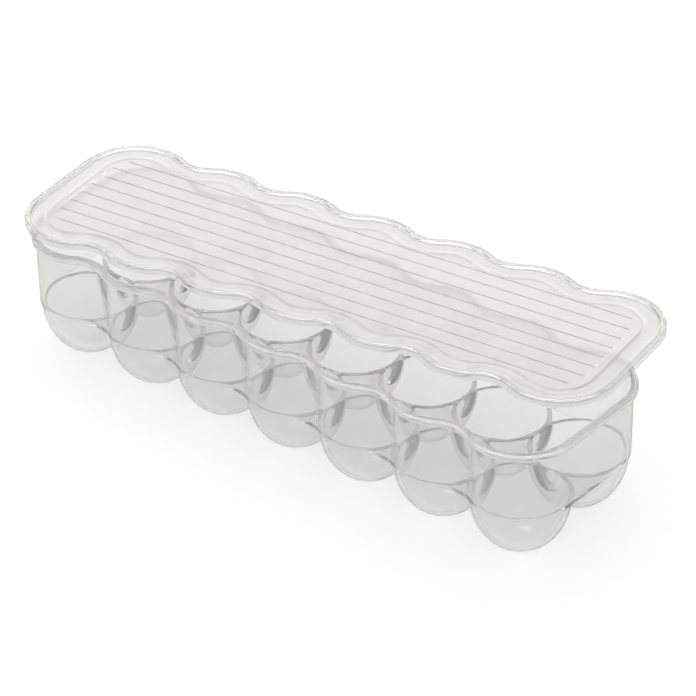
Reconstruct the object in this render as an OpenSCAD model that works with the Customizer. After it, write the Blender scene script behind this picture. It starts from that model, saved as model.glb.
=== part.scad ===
// Egg keeper: a clear tray of round-bottomed cups in two rows, with a loose scalloped lid
// that lies askew across it. All lengths are in millimetres.
// The origin is under the middle cup of the front row, on the surface the tray stands on.
// +X runs along the rows, +Y from the front row to the back row, +Z up.

/* [Cups] */
// Number of cups in each of the two rows
columns = 7; // [3:1:9]
// Diameter of a cup's mouth where it opens through the deck
mouth_d = 50.4; // [44:0.2:58]
// Width of the deck's bridge between two neighbouring mouths of a row
bridge_w = 1.6; // [1:0.1:8]
// Width of the deck's bridge between a front mouth and the back mouth behind it
row_bridge_w = 1.1; // [1:0.1:8]
// Thickness of a cup's side just under the deck
cup_wall = 2.6; // [1.6:0.1:3.2]
// Thickness of a cup's floor
cup_floor = 2.2; // [1.2:0.1:4]
// Height of the deck's top above the table
deck_h = 34.4; // [26:0.2:44]
// Diameter of the flat foot that each cup stands on
foot_d = 12; // [6:1:20]
// Fullness of a cup's profile: 2 is an ellipse, and more is squarer
fullness = 2.14; // [1.8:0.02:2.8]

/* [Tray] */
// Height of the rim's top above the table
tray_h = 77; // [60:0.5:95]
// Thickness of the deck between the cups
deck_t = 2; // [1.2:0.1:4]
// Width of the ledge between a cup's mouth and the side wall
ledge_w = 1.8; // [0.8:0.1:4]
// Thickness of the side wall
wall_t = 1.8; // [1.2:0.1:2.8]
// Width of the flat rim, from the side wall's inner face outwards
rim_w = 4.3; // [3.6:0.1:8]
// Thickness of the flat rim
rim_t = 1.6; // [1:0.1:3]
// Thickness of the lip that turns down from the rim's edge
lip_t = 1.3; // [0.8:0.1:1.6]
// Height of that lip, from the rim's top to its lower edge
lip_h = 3.8; // [2.6:0.1:8]
// Radius of the hollow between two bumps of the outline, at the rim's edge
hollow_r = 21.9; // [16:0.1:30]

/* [Lid] */
// Gap between the rim's edge and the inside of the lid's skirt
skirt_gap = 0.5; // [0.3:0.05:1.5]
// Thickness of the lid's skirt
skirt_t = 1.5; // [1:0.1:2.5]
// Height of the lid, from the skirt's lower edge to the border's top
lid_h = 5.3; // [4.8:0.1:9]
// Thickness of the lid's sheet in its border and shelf
lid_sheet = 1.6; // [1:0.1:1.8]
// How far the skirt reaches below the shelf, and so below the rim on the closed keeper
skirt_reach = 1.5; // [1:0.1:1.6]
// Width of the raised border round the lid's edge
border_w = 4.6; // [4:0.1:6]
// Width of the sunken shelf between the border and the middle panel
shelf_w = 7.7; // [5:0.1:10]
// Thickness of the middle panel, which stands this high on the shelf
panel_t = 1; // [0.8:0.1:2]
// How far the panel laps over the shelf's inner edge
panel_lap = 1.2; // [0.8:0.1:3]

/* [Ribs on the lid] */
// Number of fine lengthwise ribs on the panel
rib_count = 8; // [2:1:8]
// Distance between neighbouring ribs
rib_pitch = 10.5; // [6:0.1:10.8]
// Width of a rib
rib_w = 0.9; // [0.5:0.1:2]
// Height of a rib above the panel
rib_h = 0.5; // [0.3:0.1:1]
// Distance between a rib's end and the panel's edge
rib_margin = 5; // [2:0.1:6]

/* [Place of the lid] */
// Shift of the lid's centre along the rows, from the tray's centre
lid_shift_x = -14.1; // [-20:0.1:20]
// Shift of the lid's centre towards the back, from the tray's centre
lid_shift_y = 28.1; // [0:0.1:32]
// Turn of the lid about the vertical, in degrees
lid_turn = 7.7; // [0:0.1:12]
// Clearance under the lid's skirt where it lies across the rim
lid_rest_gap = 0.3; // [0.1:0.05:1]

/* [Hidden] */
$fn = 96;
rows = ["front", "back"];
profile_steps = 9;
arc_step = 7.5;

// The cups stand as close as their mouths and the bridges between them allow
cup_pitch = mouth_d + bridge_w;
row_pitch = mouth_d + row_bridge_w;

// Radii about a cup's centre; each outline of the keeper is the same wave at its own radius
mouth_r = mouth_d / 2;
cup_r = mouth_r + cup_wall;
wall_in_r = mouth_r + ledge_w;
wall_out_r = wall_in_r + wall_t;
rim_r = wall_in_r + rim_w;
lid_r = rim_r + skirt_gap + skirt_t;
border_in_r = lid_r - border_w;
panel_r = border_in_r - shelf_w;

// Every hollow is drawn about a centre this far from the two bumps beside it
wave_reach = rim_r + hollow_r;
hollow_y = sqrt(pow(wave_reach, 2) - pow(cup_pitch / 2, 2));
wave_angle = asin(cup_pitch / 2 / wave_reach);

deck_z = deck_h - deck_t;
rim_z = tray_h - rim_t;
shelf_top = skirt_reach + lid_sheet;
border_z = lid_h - lid_sheet;
panel_top = shelf_top + panel_t;

function cup_x(col) = (col - (columns + 1) / 2) * cup_pitch;
function cup_y(row) = (row - 0.5) * row_pitch;
function cup_name(row, col) = str("cup_", rows[row], "_", col);
last_x = cup_x(columns);

cup_names = [for (row = [0, 1], col = [1 : columns]) cup_name(row, col)];
tray_names = ["deck", "wall_front", "wall_back", "wall_left", "wall_right",
    "rim_front", "rim_back", "rim_left", "rim_right"];
lid_names = ["lid_skirt", "lid_border", "lid_shelf", "lid_panel", "lid_ribs"];

tray_colour = [0.84, 0.85, 0.86];
lid_colour = [0.88, 0.88, 0.87];

// The tray's own frame has its centre between the rows; this puts it in the keeper's frame
module on_tray() {
    translate([0, row_pitch / 2, 0]) children();
}

// The lid's own frame has its centre above the tray's, at the skirt's lower edge
module on_lid() {
    on_tray()
        translate([lid_shift_x, lid_shift_y, tray_h + lid_rest_gap])
            rotate([0, 0, lid_turn])
                children();
}

// Points along an arc, from one angle to another
function arc(centre, r, from, to, steps) =
    [for (k = [0 : steps])
        let (t = from + (to - from) * k / steps)
        centre + r * [cos(t), sin(t)]];

// The bump round one cup of the front row; the corner cups' bumps run on to the straight ends
function bump(col, r) =
    let (from = col == 1 ? 180 : 270 - wave_angle, to = col == columns ? 360 : 270 + wave_angle)
    arc([cup_x(col), cup_y(0)], r, from, to, round((to - from) / arc_step));

// The hollow between a cup of the front row and the next, without the ends it shares with them
function hollow(col, r) =
    let (
        centre = [cup_x(col) + cup_pitch / 2, cup_y(0) - hollow_y],
        steps = round(2 * wave_angle / arc_step),
        points = arc(centre, wave_reach - r, 90 + wave_angle, 90 - wave_angle, steps)
    )
    [for (k = [1 : steps - 1]) points[k]];

// One wave round all the cups at radius r: the front half, then the same turned half round
module outline(r) {
    half = [for (col = [1 : columns])
        each concat(bump(col, r), col < columns ? hollow(col, r) : [])];
    polygon(concat(half, -half));
}

// A band between two waves, of radius outer and inner, from height z, h high
module band(outer, inner, z, h) {
    translate([0, 0, z])
        linear_extrude(h)
            difference() {
                outline(outer);
                outline(inner);
            }
}

// Half profile of a bowl with mouth radius r and height h that starts flat at radius flat_r
function bowl_profile(r, h, flat_r) =
    let (start = asin(pow(flat_r / r, fullness / 2)), low = 1 - pow(cos(start), 2 / fullness))
    [for (k = [0 : profile_steps])
        let (t = start + (90 - start) * k / profile_steps, rise = 1 - pow(cos(t), 2 / fullness))
        [r * pow(sin(t), 2 / fullness), h * (rise - low) / (1 - low)]];

module bowl(r, h, flat_r) {
    rotate_extrude() polygon(concat([[0, 0]], bowl_profile(r, h, flat_r), [[0, h]]));
}

// A cup ends at the planes half way to its neighbours, and goes up to the deck's underside
module cup(row, col) {
    side = 2 * row - 1;
    left = col == 1 ? cup_r : cup_pitch / 2;
    right = col == columns ? cup_r : cup_pitch / 2;
    low_y = row == 0 ? -cup_r : -row_pitch / 2;
    color(tray_colour)
        on_tray()
            translate([cup_x(col), cup_y(row), 0])
                intersection() {
                    difference() {
                        bowl(cup_r, deck_h, foot_d / 2);
                        translate([0, 0, cup_floor]) bowl(mouth_r, deck_h - cup_floor, foot_d / 2);
                    }
                    translate([-left, low_y, 0])
                        cube([left + right, row_pitch / 2 + cup_r, deck_z]);
                }
}

module deck() {
    color(tray_colour)
        on_tray()
            translate([0, 0, deck_z])
                linear_extrude(deck_t)
                    difference() {
                        outline(wall_out_r);
                        for (col = [1 : columns], row = [0, 1])
                            translate([cup_x(col), cup_y(row)]) circle(mouth_r);
                    }
}

// Keeps the long side of what it is given, past the centres of one row's cups
module long_side(side) {
    reach = last_x + rim_r;
    intersection() {
        children();
        translate([-reach, side > 0 ? row_pitch / 2 : -row_pitch / 2 - rim_r, 0])
            cube([2 * reach, rim_r, tray_h]);
    }
}

module wall_long(side) {
    color(tray_colour)
        on_tray()
            long_side(side)
                band(wall_out_r, wall_in_r, deck_h, rim_z - deck_h);
}

// The ends are straight between the two corner cups
module wall_end(side) {
    color(tray_colour)
        on_tray()
            translate([side * (last_x + wall_in_r + wall_t / 2), 0, (deck_h + rim_z) / 2])
                cube([wall_t, row_pitch, rim_z - deck_h], center = true);
}

module rim_long(side) {
    color(tray_colour)
        on_tray()
            long_side(side) {
                union() {
                    band(rim_r, wall_in_r, rim_z, rim_t);
                    band(rim_r, rim_r - lip_t, tray_h - lip_h, lip_h);
                }
            }
}

module rim_end(side) {
    color(tray_colour)
        on_tray()
            union() {
                translate([side * (last_x + wall_in_r + rim_w / 2), 0, rim_z + rim_t / 2])
                    cube([rim_w, row_pitch, rim_t], center = true);
                translate([side * (last_x + rim_r - lip_t / 2), 0, tray_h - lip_h / 2])
                    cube([lip_t, row_pitch, lip_h], center = true);
            }
}

// The skirt hangs round the rim when the keeper is closed
module lid_skirt() {
    color(lid_colour) on_lid() band(lid_r, lid_r - skirt_t, 0, border_z);
}

// The raised border: a flat top on the skirt, and a short inner wall down to the shelf
module lid_border() {
    color(lid_colour)
        on_lid() {
            band(lid_r, border_in_r, border_z, lid_sheet);
            band(border_in_r + lid_sheet, border_in_r, shelf_top, border_z - shelf_top);
        }
}

// The sunken shelf lies on the tray's rim when the keeper is closed
module lid_shelf() {
    color(lid_colour)
        on_lid() band(border_in_r + lid_sheet, panel_r - panel_lap, skirt_reach, lid_sheet);
}

module lid_panel() {
    color(lid_colour)
        on_lid()
            translate([0, 0, shelf_top])
                linear_extrude(panel_t) outline(panel_r);
}

// Each rib ends at one margin from the panel's edge, which is round at the corners
function rib_reach(y) =
    let (r = panel_r - rib_margin, past = max(0, abs(y) - row_pitch / 2))
    last_x + sqrt(pow(r, 2) - pow(past, 2));

module lid_ribs() {
    color(lid_colour)
        on_lid()
            for (k = [1 : rib_count]) {
                y = (k - (rib_count + 1) / 2) * rib_pitch;
                reach = rib_reach(y);
                translate([-reach, y - rib_w / 2, panel_top]) cube([2 * reach, rib_w, rib_h]);
            }
}

for (row = [0, 1], col = [1 : columns])
    cup(row, col);
deck();
wall_long(-1);  // wall_front
wall_long(1);  // wall_back
wall_end(-1);  // wall_left
wall_end(1);  // wall_right
rim_long(-1);  // rim_front
rim_long(1);  // rim_back
rim_end(-1);  // rim_left
rim_end(1);  // rim_right
lid_skirt();
lid_border();
lid_shelf();
lid_panel();
lid_ribs();
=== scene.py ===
# %% [markdown]
# # A clear egg keeper with a loose lid
# The real object is two injection mouldings in clear styrene plastic: a tray with two rows of
# round-bottomed cups, and a wavy lid that lies askew across it. The construction model splits each
# moulding into regions, but clear plastic shows every seam, so this script makes each moulding
# again as one closed skin, worked out with numpy at the construction model's sizes.

# %% Load the construction model
import bpy
import numpy as np
from mathutils import Matrix, Vector


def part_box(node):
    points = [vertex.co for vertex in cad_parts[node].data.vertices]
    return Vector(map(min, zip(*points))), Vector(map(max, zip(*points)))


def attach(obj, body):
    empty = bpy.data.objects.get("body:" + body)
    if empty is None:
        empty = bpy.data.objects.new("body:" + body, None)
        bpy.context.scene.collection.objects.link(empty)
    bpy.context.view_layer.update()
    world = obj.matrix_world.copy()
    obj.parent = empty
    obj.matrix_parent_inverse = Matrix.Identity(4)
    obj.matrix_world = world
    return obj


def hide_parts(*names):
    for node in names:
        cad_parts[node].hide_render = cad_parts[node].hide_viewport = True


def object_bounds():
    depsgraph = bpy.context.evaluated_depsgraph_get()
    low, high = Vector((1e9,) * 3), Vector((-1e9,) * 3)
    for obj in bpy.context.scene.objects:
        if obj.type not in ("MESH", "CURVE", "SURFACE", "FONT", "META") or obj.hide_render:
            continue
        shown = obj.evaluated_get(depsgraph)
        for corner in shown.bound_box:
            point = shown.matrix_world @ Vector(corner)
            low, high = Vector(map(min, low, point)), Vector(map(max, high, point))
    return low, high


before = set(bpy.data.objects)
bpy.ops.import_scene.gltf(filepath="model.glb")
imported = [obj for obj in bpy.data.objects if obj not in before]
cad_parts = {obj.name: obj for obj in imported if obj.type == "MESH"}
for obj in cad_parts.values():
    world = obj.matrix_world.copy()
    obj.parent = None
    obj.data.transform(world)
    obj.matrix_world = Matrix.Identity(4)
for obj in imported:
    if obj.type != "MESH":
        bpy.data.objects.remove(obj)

CAD_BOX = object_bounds()
MM = 0.001
print("construction model, metres:", CAD_BOX)

# %% [markdown]
# ## The camera
# The photo was taken from one front corner, a little above, through a long lens. The camera's
# angles, distance and lens were worked out from the tray's outline in the picture. It looks along
# the reverse of a unit vector called back, and its own axes are right, up and back.

# %% Camera
PICTURE = 696                 # pixels along each side of the photo
SENSOR = 36.0                 # millimetres
FOCAL_PX = 3604.0             # focal length in pixels of the photo
AZIMUTH, ELEVATION, ROLL = np.radians([39.86, 33.14, -0.76])
DISTANCE = 2011.5 * MM        # from the middle of the tray, 40 mm above the table
SLIDE = np.array([12.4, 6.2]) * MM   # camera shifted to its right and up
LOOK_HEIGHT = 40 * MM


def middle(node):
    """The middle of a node's box, in metres."""
    low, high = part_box(node)
    return (np.array(low) + np.array(high)) / 2


def make_camera(target):
    """A camera whose axes come from azimuth, elevation and roll, aimed past the target."""
    a, e, r = AZIMUTH, ELEVATION, ROLL
    back = np.array([np.sin(a) * np.cos(e), -np.cos(a) * np.cos(e), np.sin(e)])
    right = np.array([np.cos(a), np.sin(a), 0.0])
    up = np.cross(back, right)
    right, up = np.cos(r) * right + np.sin(r) * up, -np.sin(r) * right + np.cos(r) * up
    place = target + back * DISTANCE + right * SLIDE[0] + up * SLIDE[1]
    data = bpy.data.cameras.new("photo_camera")
    data.sensor_width = SENSOR
    data.lens = FOCAL_PX * SENSOR / PICTURE
    data.clip_end = 30
    camera = bpy.data.objects.new("photo_camera", data)
    bpy.context.scene.collection.objects.link(camera)
    turned = np.eye(4)
    turned[:3, :4] = np.column_stack([right, up, back, place])
    camera.matrix_world = Matrix(turned.tolist())
    bpy.context.scene.camera = camera
    return camera


tray_middle = (middle("cup_front_4") + middle("cup_back_4")) / 2
camera = make_camera(np.array([tray_middle[0], tray_middle[1], LOOK_HEIGHT]))
print("lens, mm:", round(camera.data.lens, 1))

# %% [markdown]
# ## Sizes
# Every shape below is worked out in millimetres. What the construction model can tell is measured
# on it; radii and thicknesses that only show inside a moulding are written here by name.

# %% Sizes measured on the construction model
COLUMNS = 7


def size(node):
    """Width, depth and height of a node's box, in millimetres."""
    low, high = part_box(node)
    return (np.array(high) - np.array(low)) / MM


def top(node):
    """Height of a node's top, in millimetres."""
    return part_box(node)[1][2] / MM


CUP_PITCH = float(size("cup_front_4")[0])
ROW_PITCH = float(size("wall_left")[1])
DECK_TOP = float(top("deck"))
DECK_UNDER = float(top("cup_front_4"))
RIM_TOP = float(top("rim_front"))
RIM_R = float(size("rim_front")[0] - (COLUMNS - 1) * CUP_PITCH) / 2
HOLLOW_R = 21.9               # radius of a hollow at the rim's edge
MOUTH_R = 25.2                # a cup's mouth in the deck
CUP_R = 27.8                  # a cup's outside at the deck's height
CUP_FLOOR = 2.2
FOOT_R = 6.0
FULLNESS = 2.14               # 2 would make a cup's profile an ellipse
print("pitch", CUP_PITCH, ROW_PITCH, "deck", DECK_TOP, "rim", RIM_TOP, RIM_R)

# %% [markdown]
# ## The wave
# Every outline of the keeper is the same wave: bumps round the cups' centres, joined by hollows
# whose centres lie outside. It could be drawn as a curve and offset, but each offset would get
# its own points. Here a sample is a point A with an outward normal D, and at radius r it lies at
# A + r D, so that all the edges of a moulding have samples that match.

# %% The wave's bumps and hollows
ARC_STEP = 3.0                # degrees between two samples on an arc
REACH = RIM_R + HOLLOW_R      # from a cup's centre to the centre of the hollow beside it
HOLLOW_Y = np.sqrt(REACH**2 - (CUP_PITCH / 2) ** 2)
WAVE_ANGLE = np.degrees(np.arcsin(CUP_PITCH / 2 / REACH))
LAST_X = (COLUMNS - 1) / 2 * CUP_PITCH


def cup_x(col):
    """Place of a column along the tray, columns counted from 1."""
    return (col - (COLUMNS + 1) / 2) * CUP_PITCH


def directions(start, stop):
    """Unit vectors from one angle to another in degrees, one row each, ARC_STEP apart."""
    t = np.radians(np.linspace(start, stop, int(round(abs(stop - start) / ARC_STEP)) + 1))
    return np.column_stack([np.cos(t), np.sin(t)])


def bump(col, start, stop):
    """A bump's samples: A is the cup's centre and D turns from start to stop degrees."""
    d = directions(start, stop)
    return np.tile([cup_x(col), -ROW_PITCH / 2], (len(d), 1)), d


def hollow(col, start, stop):
    """The hollow after column col: D points at its centre and A lies REACH from there."""
    d = directions(start, stop)
    centre = np.array([cup_x(col) + CUP_PITCH / 2, -ROW_PITCH / 2 - HOLLOW_Y])
    return centre + REACH * d, -d


print("a bump turns", round(2 * WAVE_ANGLE, 1), "degrees, and a hollow turns as far back")

# %% The whole outline
PROBE_R = 20.0                # two samples that meet at this radius are the same one
END_SAMPLES = 13              # on half of a straight end
END_YS = np.linspace(-ROW_PITCH / 2, 0, END_SAMPLES)


def straight_end(side, ys):
    """Samples of a straight end: A at the corner cups' x, D along the row."""
    ys = np.asarray(ys, float)
    a = np.column_stack([np.full(len(ys), side * LAST_X), ys])
    return a, np.tile([float(side), 0.0], (len(ys), 1))


def joined(*pieces):
    """Pieces of outline put end to end, each without its first sample if that repeats a point."""
    a, d = pieces[0]
    for next_a, next_d in pieces[1:]:
        repeats = np.allclose(next_a[0] + PROBE_R * next_d[0], a[-1] + PROBE_R * d[-1], atol=1e-6)
        first = 1 if repeats else 0
        a, d = np.vstack([a, next_a[first:]]), np.vstack([d, next_d[first:]])
    return a, d


def outer_path(col):
    """The front cell's stretch of the outline, from its left edge round to its right edge."""
    w = WAVE_ANGLE
    if col == 1:
        pieces = [straight_end(-1, END_YS[::-1]), bump(col, 180, 270 + w)]
    else:
        pieces = [hollow(col - 1, 90, 90 - w), bump(col, 270 - w, 270 + w)]
    if col == COLUMNS:
        pieces[-1] = bump(col, 270 - w, 360)
        pieces += [straight_end(1, END_YS)]
    else:
        pieces += [hollow(col, 90 + w, 90)]
    return joined(*pieces)


def whole_loop():
    """The whole outline, anticlockwise from above: the front half, then it turned half round."""
    half = joined(*[outer_path(col) for col in range(1, COLUMNS + 1)])
    a, d = joined(half, (-half[0], -half[1]))
    return a[:-1], d[:-1]


print("samples round the outline:", len(whole_loop()[0]))

# %% [markdown]
# ## Skins from grids
# Bowls and walls could be united by booleans, but these leave long thin triangles, which clear
# plastic shows as streaks. So a skin is gathered as patches instead. Each patch is a grid of
# points; neighbouring patches repeat the points they share. At the end equal points are merged and
# quads that collapsed are dropped or become triangles, so the skin closes without any seam. The
# other patches are profiles carried round the outline, with rounded corners, because no edge of a
# moulding is quite sharp.

# %% The gatherer
MERGE_DIGITS = 4              # points whose millimetres agree to so many decimals are one


class Skin:
    """Grids of points in millimetres that share points where they meet."""

    def __init__(self):
        self.points, self.quads, self.finishes, self.count = [], [], [], 0

    def grid(self, xyz, wrap=False, flip=False, finish=0):
        """Adds a grid of shape (rows, samples, 3); wrap joins the last sample to the first.

        finish is the number of the material that the grid's faces take."""
        rows, n = xyz.shape[:2]
        index = self.count + np.arange(rows * n).reshape(rows, n)
        after = np.roll(index, -1, axis=1) if wrap else index[:, 1:]
        here = index if wrap else index[:, :-1]
        quads = np.stack([here[:-1], after[:-1], after[1:], here[1:]], -1).reshape(-1, 4)
        self.quads.append(quads[:, ::-1] if flip else quads)
        self.finishes.append(np.full(len(quads), finish))
        self.points.append(xyz.reshape(-1, 3))
        self.count += rows * n

    def merged(self):
        """Unique points, faces with repeated corners taken out, and each face's finish."""
        points = np.vstack(self.points)
        finish = np.concatenate(self.finishes)
        keys = np.round(points, MERGE_DIGITS)
        _, first, back = np.unique(keys, axis=0, return_index=True, return_inverse=True)
        quads = back.reshape(-1)[np.vstack(self.quads)]
        same = quads == np.roll(quads, -1, axis=1)
        crossed = (quads[:, 0] == quads[:, 2]) | (quads[:, 1] == quads[:, 3])
        whole, bent = (same.sum(1) == 0) & ~crossed, (same.sum(1) == 1) & ~crossed
        triangles = quads[bent][~same[bent]].reshape(-1, 3)
        faces = quads[whole].tolist() + triangles.tolist()
        return points[first], faces, np.concatenate([finish[whole], finish[bent]])


print("points merge within, mm:", 10.0**-MERGE_DIGITS)

# %% Profiles carried round the outline
ROUND_STEPS = 4               # straight pieces in each rounded corner


def rounded(corners):
    """A profile of (r, z, radius) corners with each corner replaced by an arc of that radius.

    The arc's centre lies on the line that halves the corner, radius / sin of half the corner
    away. The arc starts and ends radius / tan of half the corner along each side."""
    path = []
    corners = np.asarray(corners, float)
    for before, here, after in zip(corners, corners[1:], corners[2:]):
        u, v = before[:2] - here[:2], after[:2] - here[:2]
        u, v = u / np.hypot(*u), v / np.hypot(*v)
        half = np.arccos(np.clip(u @ v, -1, 1)) / 2
        radius = here[2]
        if radius <= 0:
            path.append(here[:2])
            continue
        centre = here[:2] + (u + v) / np.hypot(*(u + v)) * radius / np.sin(half)
        first = here[:2] + u * radius / np.tan(half) - centre
        last = here[:2] + v * radius / np.tan(half) - centre
        turn = np.arctan2(first[0] * last[1] - first[1] * last[0], first @ last)
        t = np.linspace(0, turn, ROUND_STEPS + 1)
        path += list(centre + np.column_stack([
            first[0] * np.cos(t) - first[1] * np.sin(t),
            first[0] * np.sin(t) + first[1] * np.cos(t)]))
    return np.vstack([corners[0, :2], path, corners[-1, :2]])


def swept(a, d, profile):
    """A profile of (r, z) carried round the outline: each point is A + r D at height z."""
    xy = a[None] + profile[:, 0, None, None] * d[None]
    return np.dstack([xy, np.broadcast_to(profile[:, 1, None], xy.shape[:2])])


def add_swept(skin, loop, profile, chosen, finish, rest, flip=False):
    """Sweeps a profile: from its first to its last chosen row in one finish, else in the rest's."""
    first, last = np.flatnonzero(chosen)[[0, -1]]
    for rows, number in ((profile[:first + 1], rest), (profile[first:last + 1], finish),
                         (profile[last:], rest)):
        skin.grid(swept(*loop, rows), wrap=True, flip=flip, finish=number)


print("points of one rounded corner:", ROUND_STEPS + 1)

# %% From a skin to a piece
SHARP = 35                    # degrees between faces past which an edge stays crisp


def make_piece(name, skin, place, turn=0.0):
    """The skin as a mesh piece, turned about its own centre and set in place, in metres."""
    points, faces, finishes = skin.merged()
    t = np.radians(turn)
    spin = np.array([[np.cos(t), -np.sin(t), 0], [np.sin(t), np.cos(t), 0], [0, 0, 1]])
    points = (points @ spin.T + place) * MM
    mesh = bpy.data.meshes.new(name)
    mesh.from_pydata(points.tolist(), [], faces)
    mesh.polygons.foreach_set("material_index", finishes)
    mesh.validate()
    mesh.shade_smooth()
    mesh.set_sharp_from_angle(angle=np.radians(SHARP))
    piece = bpy.data.objects.new(name, mesh)
    bpy.context.scene.collection.objects.link(piece)
    print(name, "points", len(points), "faces", len(faces))
    return piece


print("edges stay crisp past, degrees:", SHARP)

# %% [markdown]
# ## The tray
# Each cup has a cell that reaches half way to its neighbours or out to the wave. Round the cell
# runs one loop of samples. The top of the cell is rings of points from the bowl's middle out to
# that loop. The underside is the same with the outer bowl, which ends where it meets its
# neighbour's bowl, so sharp valleys form between the cups, as on such mouldings.

# %% A bowl's profile
def angle_at_radius(mouth, r):
    """The profile's angle where the bowl has radius r: its sine is r / mouth, power FULLNESS / 2."""
    return np.arcsin(np.clip(r / mouth, 0, 1) ** (FULLNESS / 2))


def cut_off(mouth):
    """The share of a whole bowl's rise that the flat middle of radius FOOT_R cuts off."""
    return 1 - np.cos(angle_at_radius(mouth, FOOT_R)) ** (2 / FULLNESS)


def bowl_profile(mouth, height, t):
    """Radius and rise of a superellipse bowl at angles t.

    The radius is mouth times sin t, and the rise 1 minus cos t, each to the power 2 / FULLNESS.
    The rise is counted from the flat middle and scaled to the height."""
    low = cut_off(mouth)
    rise = 1 - np.maximum(np.cos(t), 0) ** (2 / FULLNESS)
    return mouth * np.sin(t) ** (2 / FULLNESS), height * (rise - low) / (1 - low)


def angle_at_rise(mouth, height, z):
    """The profile's angle where the bowl has risen to z: the rise of bowl_profile turned round."""
    low = cut_off(mouth)
    rise = low + (1 - low) * z / height
    return np.arccos((1 - rise) ** (FULLNESS / 2))


print("a cup inside, mm across and deep:", 2 * MOUTH_R, round(DECK_TOP - CUP_FLOOR, 2))

# %% A cell's loop of samples
SIDE_STEPS, MIDDLE_STEPS = 22, 26   # samples to a neighbour's edge, and along the middle line


def cell_loop(col):
    """A and D round a front cell, anticlockwise.

    Along the edges inside the tray D shrinks to nothing, or grows from it, in equal steps."""
    a, d = outer_path(col)
    crest = -ROW_PITCH / 2 - HOLLOW_Y + REACH    # at radius r a hollow's middle has y = crest - r
    x = cup_x(col)
    t = np.linspace(0, 1, SIDE_STEPS + 1)[:, None]
    if col < COLUMNS:
        right_a = (1 - t) * [x + CUP_PITCH / 2, crest] + t * [x + CUP_PITCH / 2, 0]
        a, d = joined((a, d), (right_a, (1 - t) * [0, -1.0]))
    s = np.linspace(0, 1, MIDDLE_STEPS + 1)[:, None]
    right = np.array([x, 0]) if col == COLUMNS else np.array([x + CUP_PITCH / 2, 0])
    left = np.array([x, 0]) if col == 1 else np.array([x - CUP_PITCH / 2, 0])
    right_d = np.array([1.0, 0]) * (col == COLUMNS)
    left_d = np.array([-1.0, 0]) * (col == 1)
    a, d = joined((a, d), ((1 - s) * right + s * left, (1 - s) * right_d + s * left_d))
    if col > 1:
        left_a = t * [x - CUP_PITCH / 2, crest] + (1 - t) * [x - CUP_PITCH / 2, 0]
        a, d = joined((a, d), (left_a, t * [0, -1.0]))
    return a[:-1], d[:-1]


print("samples round each front cell:", [len(cell_loop(col)[0]) for col in range(1, COLUMNS + 1)])

# %% The rings of a bowl
BOWL_ROWS = 15                # rings from the edge of the flat middle to the bowl's mouth


def bowl_rings(ring, mouth, height, base, stop):
    """Rings of a bowl that stands at base, from its middle to its flat's edge and up to stop.

    stop is an angle of the profile, one for the whole ring or one for each spoke."""
    start = angle_at_radius(mouth, FOOT_R)
    rings = [ring(0, base), ring(FOOT_R / 2, base)]
    for part in np.linspace(0, 1, BOWL_ROWS):
        r, rise = bowl_profile(mouth, height, start + (stop - start) * part)
        rings.append(ring(r, base + rise))
    return rings


print("rings in a bowl:", BOWL_ROWS + 2)

# %% A cell of the tray
MOUTH_ROUND = 0.4             # rounding of a cup's mouth
LEDGE_R = 26.4                # where the deck's top starts to turn up into the wall
UNDER_R = 28.0                # where the deck's underside starts to turn up into the wall


def add_cell(skin, col, turned):
    """Top and underside of one cell; turned gives the back row's cell, turned half round."""
    a, d = cell_loop(col)
    centre = np.array([cup_x(col), -ROW_PITCH / 2])
    way = -1 if turned else 1
    top_edge, under_edge = a + LEDGE_R * d, a + UNDER_R * d
    spoke = under_edge - centre
    far = np.hypot(*spoke.T)
    spoke = spoke / far[:, None]

    def ring(r, z):
        """Points at radius r and height z along the spokes, r and z given once or for each."""
        xy = centre + np.broadcast_to(r, far.shape)[:, None] * spoke
        return np.column_stack([way * xy, np.broadcast_to(z, far.shape)])

    depth = DECK_TOP - CUP_FLOOR
    rings = bowl_rings(ring, MOUTH_R, depth, CUP_FLOOR,
                       angle_at_rise(MOUTH_R, depth, depth - MOUTH_ROUND))
    for t in np.radians([30, 60, 90]):
        rings.append(ring(MOUTH_R + MOUTH_ROUND * (1 - np.cos(t)),
                          DECK_TOP - MOUTH_ROUND * (1 - np.sin(t))))
    rings.append(np.column_stack([way * top_edge, np.full(len(a), DECK_TOP)]))
    skin.grid(np.array(rings), wrap=True, flip=True)

    at_deck = angle_at_rise(CUP_R, DECK_TOP, DECK_UNDER)
    stop = np.minimum(at_deck, angle_at_radius(CUP_R, far))
    rings = bowl_rings(ring, CUP_R, DECK_TOP, 0, stop)
    edge_z = np.where(stop < at_deck, rings[-1][:, 2], DECK_UNDER)
    rings.append(np.column_stack([way * under_edge, edge_z]))
    skin.grid(np.array(rings), wrap=True)


print("deck between two mouths, mm:", round(CUP_PITCH - 2 * MOUTH_R, 2))

# %% The profile of the tray's wall and rim
INNER_FOOT_R, INNER_TOP_R = 26.9, 27.2     # the wall leans out by its draft, inside
OUTER_FOOT_R, OUTER_TOP_R = 28.6, 28.95    # and outside
RIM_T = 1.6
LIP_T, LIP_H = 1.3, 3.8       # the lip turned down at the rim's edge
WALL_PROFILE = rounded([
    (LEDGE_R, DECK_TOP, 0),
    (INNER_FOOT_R, DECK_TOP, 0.45),
    (INNER_TOP_R, RIM_TOP, 0.6),
    (RIM_R, RIM_TOP, 0.7),
    (RIM_R, RIM_TOP - LIP_H, 0.5),
    (RIM_R - LIP_T, RIM_TOP - LIP_H, 0.5),
    (RIM_R - LIP_T, RIM_TOP - RIM_T, 0.3),
    (OUTER_TOP_R, RIM_TOP - RIM_T, 0.5),
    (OUTER_FOOT_R, DECK_UNDER, 0.5),
    (UNDER_R, DECK_UNDER, 0),
])
print("wall at its foot, mm:", round(OUTER_FOOT_R - INNER_FOOT_R, 2), "points:", len(WALL_PROFILE))

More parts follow.
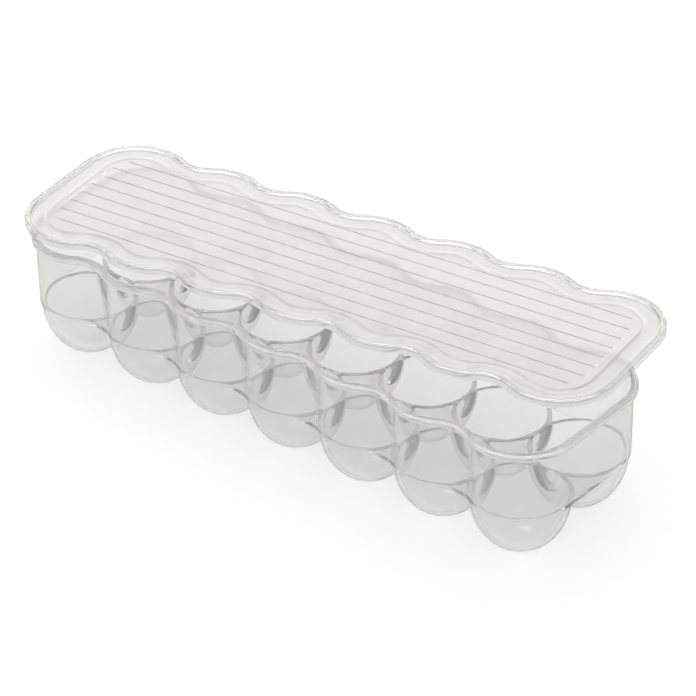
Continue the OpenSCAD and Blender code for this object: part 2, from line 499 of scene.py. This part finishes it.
# %% The whole tray
CLEAR, GRAINED = 0, 1         # the numbers of a piece's two finishes
# The grain, and the darker grey painted shade with it, end this far below the rim's top.
RIM_EDGE = 0.2                # the grain ends this far below the rim's top, on its rounded edges


def make_tray():
    """All fourteen cells, and the wall and rim carried round the outline, as one skin.

    Only the rim's flat top is grained, and it is coloured a darker grey there as painted shade."""
    skin = Skin()
    for col in range(1, COLUMNS + 1):
        for turned in (False, True):
            add_cell(skin, col, turned)
    flat_top = WALL_PROFILE[:, 1] > RIM_TOP - RIM_EDGE
    add_swept(skin, whole_loop(), WALL_PROFILE, flat_top, GRAINED, CLEAR, flip=True)
    return make_piece("clear_tray", skin, np.array([*tray_middle[:2] / MM, 0]))


tray = make_tray()
TRAY_NODES = [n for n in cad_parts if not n.startswith("lid_")]
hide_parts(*TRAY_NODES)
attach(tray, "tray")

# %% [markdown]
# ## The lid
# The lid's section is one profile carried round the same wave: skirt, raised border, sunken shelf
# and a soft step up to the panel. The panel is a grid of rows across the lid. The fine ribs could
# be bars laid on it, but clear plastic would show their undersides, so they are rows of the grid
# lifted by half a millimetre.

# %% Sizes of the lid
LID_TURN = 7.7                # degrees, how far the lid is turned on the tray
SKIRT_GAP, SKIRT_T = 0.5, 1.5
LID_R = RIM_R + SKIRT_GAP + SKIRT_T        # the skirt's outside
LID_H = 5.3
LID_SHEET = 1.6
BORDER_R = 28.7               # the border's inner edge
SHELF_UNDER = 1.5             # the skirt reaches this far below the shelf
SHELF_TOP = SHELF_UNDER + LID_SHEET
PANEL_R, PANEL_T = 21.0, 1.0
PANEL_TOP = SHELF_TOP + PANEL_T
PANEL_LAP = 1.2               # the shelf reaches this far under the panel
RIB_COUNT, RIB_PITCH, RIB_W, RIB_H = 8, 10.5, 0.9, 0.5
RIB_MARGIN = 5.0              # from a rib's end to the panel's edge
print("lid, mm long and wide:", round(2 * (LAST_X + LID_R), 1), round(ROW_PITCH + 2 * LID_R, 1))

# %% The rows of the panel
RIB_YS = (np.arange(RIB_COUNT) - (RIB_COUNT - 1) / 2) * RIB_PITCH
PAST_RIBS = 2.4
ROWS_REACH = RIB_YS[-1] + PAST_RIBS        # rows stay straight inside this; the wave is outside
RIB_ACROSS = np.array([-1, -0.7, -0.3, 0.3, 0.7, 1])     # in half widths of a rib
RIB_RISE = np.array([0, 0.6, 0.95, 0.95, 0.6, 0])        # in heights of a rib


def panel_rows():
    """Nominal y of each row and its lift, symmetric about the middle: six rows make a rib."""
    ys, lifts = [-ROWS_REACH], [0.0]
    for y in RIB_YS:
        ys += [*(y + RIB_ACROSS * RIB_W / 2), y + RIB_PITCH / 2]
        lifts += [*(RIB_RISE * RIB_H), 0.0]
    ys[-1] = ROWS_REACH
    return np.array(ys), np.array(lifts)


ROW_YS, ROW_LIFTS = panel_rows()
LID_END_YS = ROW_YS * (ROW_PITCH / 2 / ROWS_REACH)
print("rows across the panel:", len(ROW_YS))

# %% The lid's outline and its panel
def lid_loop():
    """The front wave, and the whole loop, whose straight ends have a sample for every row."""
    w = WAVE_ANGLE
    pieces = [bump(1, 180, 270 + w)]
    for col in range(2, COLUMNS + 1):
        stop = 360 if col == COLUMNS else 270 + w
        pieces += [hollow(col - 1, 90 + w, 90 - w), bump(col, 270 - w, stop)]
    front = joined(*pieces)
    half = joined(front, straight_end(1, LID_END_YS))
    a, d = joined(half, (-half[0], -half[1]))
    return front, (a[:-1], d[:-1])


def add_panel(skin, front, r, z, ribs):
    """A grid whose columns run from the front wave to the back wave at radius r.

    Where the wave comes nearer than ROWS_REACH the rows draw together in proportion. A rib's
    lift runs out over the last millimetre before its end."""
    xy = front[0] + r * front[1]
    order = np.argsort(xy[:, 0], kind="stable")
    x, half = xy[order, 0], -xy[order, 1]
    scale = np.minimum(1, half / ROWS_REACH)
    scale[[0, -1]] = ROW_PITCH / 2 / ROWS_REACH
    y = ROW_YS[:, None] * scale[None]
    edge = np.abs(ROW_YS) == ROWS_REACH
    y[edge] = np.sign(ROW_YS[edge])[:, None] * half[None]
    past = np.maximum(0, np.abs(ROW_YS) - ROW_PITCH / 2)
    reach = LAST_X + np.sqrt(np.maximum((PANEL_R - RIB_MARGIN) ** 2 - past**2, 0))
    ends = np.clip(reach[:, None] - np.abs(x)[None], 0, 1)
    lift = ROW_LIFTS[:, None] * ends if ribs else np.zeros_like(y)
    grid = np.dstack([np.broadcast_to(x, y.shape), y, z + lift])
    skin.grid(grid, flip=not ribs, finish=GRAINED)


print("samples on the lid's front wave:", len(lid_loop()[0][0]))

# %% The lid's profile
STEP_OUT, STEP_IN = 1.6, 0.4  # how far the soft step reaches to each side of the panel's edge
STEP_ROUND = 2.0
FLAT_R = PANEL_R - 1.0        # the panel is level inside this
LID_PROFILE = rounded([
    (PANEL_R - PANEL_LAP, SHELF_TOP, 0),
    (PANEL_R - PANEL_LAP, SHELF_UNDER, 0.4),
    (BORDER_R + LID_SHEET, SHELF_UNDER, 0.5),
    (BORDER_R + LID_SHEET, LID_H - LID_SHEET, 0.3),
    (LID_R - SKIRT_T, LID_H - LID_SHEET, 0.3),
    (LID_R - SKIRT_T, 0, 0.6),
    (LID_R, 0, 0.6),
    (LID_R, LID_H, 1.0),
    (BORDER_R, LID_H, 0.8),
    (BORDER_R, SHELF_TOP, 0.5),
    (PANEL_R + STEP_OUT, SHELF_TOP, STEP_ROUND),
    (PANEL_R - STEP_IN, PANEL_TOP, STEP_ROUND),
    (FLAT_R, PANEL_TOP, 0),
])
print("points of the lid's profile:", len(LID_PROFILE))


# %% The whole lid
def make_lid():
    """The section carried round the wave, closed by the panel's top and its underside.

    Faces inside the border, above and below, are grained, which makes them milky."""
    skin = Skin()
    front, loop = lid_loop()
    add_swept(skin, loop, LID_PROFILE, LID_PROFILE[:, 0] >= BORDER_R, CLEAR, GRAINED)
    add_panel(skin, front, FLAT_R, PANEL_TOP, ribs=True)
    add_panel(skin, front, PANEL_R - PANEL_LAP, SHELF_TOP, ribs=False)
    centre = middle("lid_skirt") / MM
    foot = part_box("lid_skirt")[0][2] / MM
    return make_piece("clear_lid", skin, np.array([*centre[:2], foot]), LID_TURN)


lid = make_lid()
LID_NODES = [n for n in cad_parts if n.startswith("lid_")]
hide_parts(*LID_NODES)
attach(lid, "lid")

# %% [markdown]
# ## Clear plastic
# Injection-moulded styrene is clear with a faint grey cast, and bends light strongly, with an
# index of 1.59. A polished mould leaves it glossy, but never quite flat, so a very faint wave in
# the surface makes reflections swim. A Glass shader could bend the light too, but Principled also
# scatters a share of it as haze. Noise makes the wave and varies the gloss, and the colour deepens
# where the surface turns from the eye.

# %% Colours and nodes
def linear(hex_colour, alpha=1.0):
    """sRGB hex to linear light."""
    rgb = [int(hex_colour[i:i + 2], 16) / 255 for i in (1, 3, 5)]
    return [c / 12.92 if c <= 0.04045 else ((c + 0.055) / 1.055) ** 2.4 for c in rgb] + [alpha]


def add(tree, kind, settings=(), inputs=(), links=()):
    """Adds a node with its settings, input values and links (input, source socket)."""
    node = tree.nodes.new(kind)
    for key, value in dict(settings).items():
        setattr(node, key, value)
    for key, value in dict(inputs).items():
        node.inputs[key].default_value = value
    for key, socket in dict(links).items():
        tree.links.new(socket, node.inputs[key])
    return node


def empty_material(name):
    """A material with no nodes yet, and its node tree."""
    material = bpy.data.materials.new(name)
    material.use_nodes = True
    material.node_tree.nodes.clear()
    return material, material.node_tree


print("a middle grey, linear:", np.round(linear("#808080"), 3))

# %% The styrene's surface
STYRENE_IOR = 1.59
SWIM, SWIM_MM = 0.12, 0.3     # strength and height of the faint waves
NOISE_LOW, NOISE_HIGH = 0.3, 0.7     # nearly all of the noise lies between these
EDGE_FROM = 0.7               # the colour deepens past this turn from the eye; 1 is edge on


def swimming_surface(tree, swim_mm):
    """A noise swim_mm across that bends the normal by a little: a moulding's faint waves."""
    place = add(tree, "ShaderNodeTexCoord").outputs["Object"]
    noise = add(tree, "ShaderNodeTexNoise",
                inputs={"Scale": 1 / (swim_mm * MM), "Detail": 2.0, "Roughness": 0.4},
                links={"Vector": place}).outputs["Fac"]
    waves = add(tree, "ShaderNodeBump", inputs={"Strength": SWIM, "Distance": SWIM_MM * MM},
                links={"Height": noise})
    return noise, waves.outputs["Normal"]


def styrene_shader(tree, noise, normal, colour, edge, least_rough, most_rough):
    """Glossy clear styrene, whose colour goes from colour to edge as it turns from the eye.

    There the light has come a longer way through the plastic. Its gloss varies with the noise."""
    turned = add(tree, "ShaderNodeLayerWeight", inputs={"Blend": 0.5})
    depth = add(tree, "ShaderNodeMapRange", {"interpolation_type": "SMOOTHSTEP"},
                {"From Min": EDGE_FROM, "From Max": 1.0}, {"Value": turned.outputs["Facing"]})
    tint = add(tree, "ShaderNodeMix", {"data_type": "RGBA"}, {6: linear(colour), 7: linear(edge)},
               {0: depth.outputs["Result"]})
    gloss = add(tree, "ShaderNodeMapRange",
                inputs={"From Min": NOISE_LOW, "From Max": NOISE_HIGH, "To Min": least_rough,
                        "To Max": most_rough}, links={"Value": noise})
    return add(tree, "ShaderNodeBsdfPrincipled", inputs={"IOR": STYRENE_IOR},
               links={"Normal": normal, "Base Color": tint.outputs[2],
                      "Roughness": gloss.outputs["Result"]})


def open_to_lamps(tree, shader, lamps_passed):
    """Lets lamps reach through as through a plain pane, so that what stands behind is lit.

    Cycles seldom finds a lamp through bent light: the inside would be left dark and grainy."""
    path = add(tree, "ShaderNodeLightPath")
    pane = add(tree, "ShaderNodeBsdfTransparent", inputs={"Color": linear(lamps_passed)})
    either = add(tree, "ShaderNodeMixShader",
                 links={0: path.outputs["Is Shadow Ray"], 1: shader.outputs[0], 2: pane.outputs[0]})
    add(tree, "ShaderNodeOutputMaterial", links={"Surface": either.outputs[0]})


print("index of refraction", STYRENE_IOR)

# %% [markdown]
# ## Polished and grained
# The tray, and the lid's skirt and border, are polished and clear, with a trace of haze. Two
# places come from a mould with a fine grain. Inside the lid's border it scatters over a third of
# the light, so that what lies below shows only as pale shapes. On the flat top of the tray's rim
# it makes a haze too, and the colour there is a darker grey, painted shade that gives a soft grey
# band between two bright edges. This haze is a little uneven, as on a real moulding, where the
# plastic cooled at different speeds.

# %% Polished clear styrene
TRAY_SWIM, LID_SWIM = 18, 24  # millimetres across the faint waves of each moulding


def polished_clear_styrene(name, colour, edge, passed, lamps_passed, swim_mm):
    """A clear moulding with a mirror-like gloss, whose shape shows only by bent and lost light.

    passed is the share of light that goes through unscattered."""
    material, tree = empty_material(name)
    noise, normal = swimming_surface(tree, swim_mm)
    shader = styrene_shader(tree, noise, normal, colour, edge, least_rough=0.015, most_rough=0.045)
    shader.inputs["Transmission Weight"].default_value = passed
    open_to_lamps(tree, shader, lamps_passed)
    print(name, "passes", passed)
    return material


tray.data.materials.append(polished_clear_styrene(
    "polished_clear_styrene", "#F8F8F7", "#B4B4B2", passed=0.92, lamps_passed="#F6F6F6",
    swim_mm=TRAY_SWIM))
lid.data.materials.append(polished_clear_styrene(
    "polished_lid_styrene", "#F6F6F4", "#B4B3B0", passed=0.88, lamps_passed="#F2F2F2",
    swim_mm=LID_SWIM))


# %% Grained milky styrene
def grained_milky_styrene(name, colour, edge, least_passed, most_passed, swim_mm):
    """Grained plastic, which looks like thin milk: the share that passes varies with the noise."""
    material, tree = empty_material(name)
    noise, normal = swimming_surface(tree, swim_mm)
    shader = styrene_shader(tree, noise, normal, colour, edge, least_rough=0.03, most_rough=0.07)
    haze = add(tree, "ShaderNodeMapRange",
               inputs={"From Min": NOISE_LOW, "From Max": NOISE_HIGH, "To Min": least_passed,
                       "To Max": most_passed}, links={"Value": noise})
    tree.links.new(haze.outputs["Result"], shader.inputs["Transmission Weight"])
    open_to_lamps(tree, shader, lamps_passed="#EEEEEE")
    print(name, "passes", least_passed, "to", most_passed)
    return material


# The rim's top: the grain's haze, and a darker grey colour, #DAD9D7, that is painted shade for the
# grey band.
tray.data.materials.append(grained_milky_styrene(
    "grained_rim_styrene_painted_shade", "#DAD9D7", "#B4B4B2", least_passed=0.64, most_passed=0.74,
    swim_mm=TRAY_SWIM))
lid.data.materials.append(grained_milky_styrene(
    "grained_milky_styrene", "#F4F3F1", "#C8C7C4", least_passed=0.58, most_passed=0.68,
    swim_mm=LID_SWIM))

# %% [markdown]
# ## White studio
# The photo has a pure white ground, yet the plastic on it looks grey, as if the ground behind it
# were darker. So the floor here is pale and lit like everything else, and has a little light of
# its own that each kind of ray sees its own share of: the camera all of it, which takes the floor
# to white, and rays through or off the plastic less. Diffuse light gets none of it. The
# surroundings are grey with a bright wall behind, because clear plastic only shows by the darker
# and brighter things that it bends into view. One large soft lamp above and a weaker one at the
# side give the soft shadow, and are large so that they don't mirror as hard spots.

# %% Floor
CAMERA_GLOW, THROUGH_GLOW, GLOSS_GLOW = 0.47, 0.33, 0.06
FLOOR_GAP = 0.1 * MM          # so that the floor and the cups' feet don't share a plane


def glow_by_ray(tree):
    """The floor's own light: the sum of each kind of ray's flag, 0 or 1, times its share."""
    path = add(tree, "ShaderNodeLightPath")
    gloss = add(tree, "ShaderNodeMath", {"operation": "MULTIPLY"}, {1: GLOSS_GLOW},
                {0: path.outputs["Is Glossy Ray"]})
    through = add(tree, "ShaderNodeMath", {"operation": "MULTIPLY_ADD"}, {1: THROUGH_GLOW},
                  {0: path.outputs["Is Transmission Ray"], 2: gloss.outputs[0]})
    return add(tree, "ShaderNodeMath", {"operation": "MULTIPLY_ADD"}, {1: CAMERA_GLOW},
               {0: path.outputs["Is Camera Ray"], 2: through.outputs[0]}).outputs[0]


def make_floor(half_width=4.0):
    """A wide pale floor just under the keeper, and its share of light of its own."""
    corners = np.array([[-1, -1], [1, -1], [1, 1], [-1, 1]]) * half_width
    low = CAD_BOX[0][2] - FLOOR_GAP
    mesh = bpy.data.meshes.new("studio_floor")
    mesh.from_pydata([(x, y, low) for x, y in corners], [], [(0, 1, 2, 3)])
    floor = bpy.data.objects.new("studio_floor", mesh)
    bpy.context.scene.collection.objects.link(floor)
    material, tree = empty_material("matt_white_floor")
    paint = add(tree, "ShaderNodeBsdfDiffuse", inputs={"Color": linear("#CBCBCB")})
    light = add(tree, "ShaderNodeEmission", links={"Strength": glow_by_ray(tree)})
    both = add(tree, "ShaderNodeAddShader", links={0: paint.outputs[0], 1: light.outputs[0]})
    add(tree, "ShaderNodeOutputMaterial", links={"Surface": both.outputs[0]})
    mesh.materials.append(material)
    return floor


floor = make_floor()
print("floor, metres across:", floor.dimensions[0])

# %% Surroundings
GREY_HEIGHT = 0.45            # the grey brightens from the horizon up to this height
WALL_EDGE, WALL_FULL = 0.35, 0.95    # how squarely a direction points at the wall
FADE_FROM, FADE_TO = 0.1, 0.6        # heights between which the wall fades out


def make_world(low_grey=0.48, high_grey=0.62, wall_light=1.9):
    """Grey at the horizon, brighter above, with a bright wall behind the keeper.

    Light from a direction is the grey, plus wall_light times how far the direction points at
    the wall, fading with height. Rays from the camera see plain white."""
    world = bpy.data.worlds.new("studio")
    bpy.context.scene.world = world
    world.use_nodes = True
    tree = world.node_tree
    tree.nodes.clear()
    way = add(tree, "ShaderNodeTexCoord").outputs["Generated"]
    height = add(tree, "ShaderNodeSeparateXYZ", links={"Vector": way}).outputs["Z"]
    grey = add(tree, "ShaderNodeMapRange",
               inputs={"From Max": GREY_HEIGHT, "To Min": low_grey, "To Max": high_grey},
               links={"Value": height})
    facing = add(tree, "ShaderNodeVectorMath", {"operation": "DOT_PRODUCT"},
                 {1: (-np.sin(AZIMUTH), np.cos(AZIMUTH), 0)}, {0: way})
    wall = add(tree, "ShaderNodeMapRange", {"interpolation_type": "SMOOTHSTEP"},
               {"From Min": WALL_EDGE, "From Max": WALL_FULL}, {"Value": facing.outputs["Value"]})
    fade = add(tree, "ShaderNodeMapRange", {"interpolation_type": "SMOOTHSTEP"},
               {"From Min": FADE_FROM, "From Max": FADE_TO, "To Min": wall_light,
                "To Max": 0.0}, {"Value": height})
    total = add(tree, "ShaderNodeMath", {"operation": "MULTIPLY_ADD"},
                links={0: wall.outputs[0], 1: fade.outputs[0], 2: grey.outputs[0]})
    path = add(tree, "ShaderNodeLightPath")
    seen = add(tree, "ShaderNodeMix", {"data_type": "FLOAT"}, {3: 1.0},
               {0: path.outputs["Is Camera Ray"], 2: total.outputs[0]})
    sky = add(tree, "ShaderNodeBackground", inputs={"Color": linear("#FFFFFF")},
              links={"Strength": seen.outputs[0]})
    add(tree, "ShaderNodeOutputWorld", links={"Surface": sky.outputs[0]})
    return world


world = make_world()
print("surroundings:", world.name)

# %% Lamps and render limits
AIM = Vector((0, 0.03, 0.05))    # near the keeper's middle, in metres
WALL_CROSSINGS = 32           # faces of clear plastic that one ray may cross


def softbox(name, place, width, watts):
    """A square lamp at place, facing AIM."""
    data = bpy.data.lights.new(name, "AREA")
    data.size = width
    data.energy = watts
    lamp = bpy.data.objects.new(name, data)
    bpy.context.scene.collection.objects.link(lamp)
    lamp.location = place
    lamp.rotation_euler = (lamp.location - AIM).to_track_quat("Z", "Y").to_euler()
    print(name, "watts", watts)


softbox("top_lamp", (-0.25, 0.35, 1.3), width=1.0, watts=6)
softbox("side_lamp", (-1.2, -0.7, 0.8), width=0.7, watts=2)
scene = bpy.context.scene
scene.view_settings.view_transform = "Standard"
scene.cycles.max_bounces = WALL_CROSSINGS
scene.cycles.transmission_bounces = WALL_CROSSINGS
scene.cycles.glossy_bounces = WALL_CROSSINGS
scene.cycles.diffuse_bounces = 3
scene.cycles.transparent_max_bounces = 24
